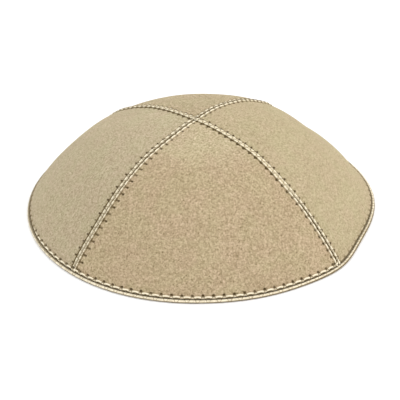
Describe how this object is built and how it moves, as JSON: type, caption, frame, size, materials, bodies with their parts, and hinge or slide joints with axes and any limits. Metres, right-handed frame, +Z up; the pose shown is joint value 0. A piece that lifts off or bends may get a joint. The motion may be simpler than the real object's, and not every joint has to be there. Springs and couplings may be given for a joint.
{
  "type": "kippah skullcap",
  "caption": "Round suede skullcap of wedge panels stitched edge to edge, with a narrow folded trim round its rim.",
  "frame": {"origin": "middle of the cap's outline in plan, on the surface that its rim rests on", "axes": "+Z up towards the crown, -Y towards the front panel, +X towards the right panel as seen from the front"},
  "size_m": [0.1762, 0.1734, 0.0508],
  "materials": {
    "suede": "matt napped suede",
    "trim_suede": "matt folded suede"
  },
  "bodies": {
    "root": {"panel_front": "suede", "panel_right": "suede", "panel_back": "suede", "panel_left": "suede", "rim_trim": "trim_suede"}
  },
  "joints": []
}
